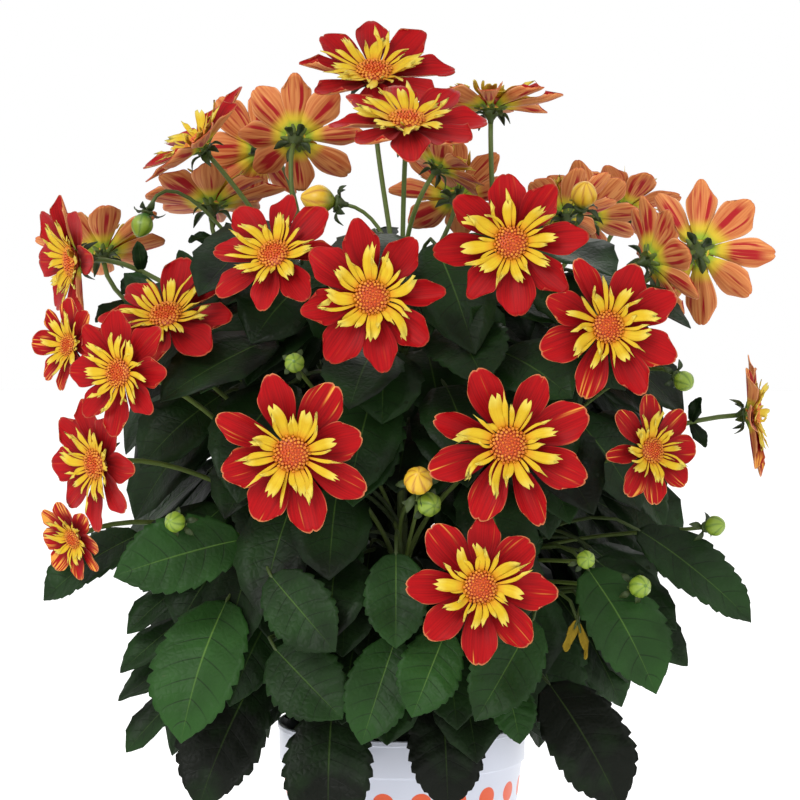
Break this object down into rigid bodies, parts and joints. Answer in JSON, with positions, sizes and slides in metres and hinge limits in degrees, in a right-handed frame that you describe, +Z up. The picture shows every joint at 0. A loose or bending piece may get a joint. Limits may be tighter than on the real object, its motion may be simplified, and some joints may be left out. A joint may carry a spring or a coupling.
{
  "type": "potted dahlia",
  "caption": "Bushy dahlia in a tapered nursery pot, with red collar flowers that have yellow hearts, apricot petal backs, round buds and broad toothed leaves.",
  "frame": {"origin": "middle of the pot's underside", "axes": "+Z up, the front of the plant faces -Y, +X to the right as seen from the front"},
  "size_m": [0.5188, 0.4345, 0.6515],
  "materials": {
    "white_plastic": "moulded white polypropylene, smooth and softly glossy",
    "potting_soil": "crumbly dark compost of peat and bark",
    "green_foliage": "living green stems and waxy toothed leaves with paler veins",
    "red_petal": "velvety scarlet petals with faint lengthwise veins",
    "yellow_petal": "satin lemon collar petals round a disc of orange florets",
    "apricot_petal": "satin apricot petal backs with red streaks"
  },
  "bodies": {
    "root": {"bloom_01_heart": "yellow_petal", "bloom_01_rays": "red_petal", "bloom_02_heart": "yellow_petal", "bloom_02_rays": "red_petal", "bloom_03_heart": "yellow_petal", "bloom_03_rays": "red_petal", "bloom_04_heart": "yellow_petal", "bloom_04_rays": "red_petal", "bloom_05_heart": "yellow_petal", "bloom_05_rays": "red_petal", "bloom_06_heart": "yellow_petal", "bloom_06_rays": "red_petal", "bloom_07_heart": "yellow_petal", "bloom_07_rays": "red_petal", "bloom_08_heart": "yellow_petal", "bloom_08_rays": "red_petal", "bloom_09_heart": "yellow_petal", "bloom_09_rays": "red_petal", "bloom_10_heart": "yellow_petal", "bloom_10_rays": "red_petal", "bloom_11_heart": "yellow_petal", "bloom_11_rays": "red_petal", "bloom_12_heart": "yellow_petal", "bloom_12_rays": "red_petal", "bloom_13_heart": "yellow_petal", "bloom_13_rays": "red_petal", "bloom_14_heart": "yellow_petal", "bloom_14_rays": "red_petal", "bloom_15_heart": "yellow_petal", "bloom_15_rays": "red_petal", "bloom_16_heart": "yellow_petal", "bloom_16_rays": "red_petal", "bloom_17_heart": "yellow_petal", "bloom_17_rays": "red_petal", "bloom_18_heart": "yellow_petal", "bloom_18_rays": "red_petal", "bloom_19_heart": "yellow_petal", "bloom_19_rays": "red_petal", "bloom_20": "apricot_petal", "bloom_21": "apricot_petal", "bloom_22": "apricot_petal", "bloom_23": "apricot_petal", "bloom_24": "apricot_petal", "bloom_25": "apricot_petal", "bloom_26": "apricot_petal", "bloom_27": "apricot_petal", "bloom_28": "apricot_petal", "bloom_29": "apricot_petal", "bloom_30": "apricot_petal", "bud_1": "yellow_petal", "bud_2": "yellow_petal", "bud_3": "yellow_petal", "leafy_stem_back": "green_foliage", "leafy_stem_back_left": "green_foliage", "leafy_stem_back_right": "green_foliage", "leafy_stem_front": "green_foliage", "leafy_stem_front_left": "green_foliage", "leafy_stem_front_right": "green_foliage", "pot": "white_plastic", "soil": "potting_soil"}
  },
  "joints": []
}
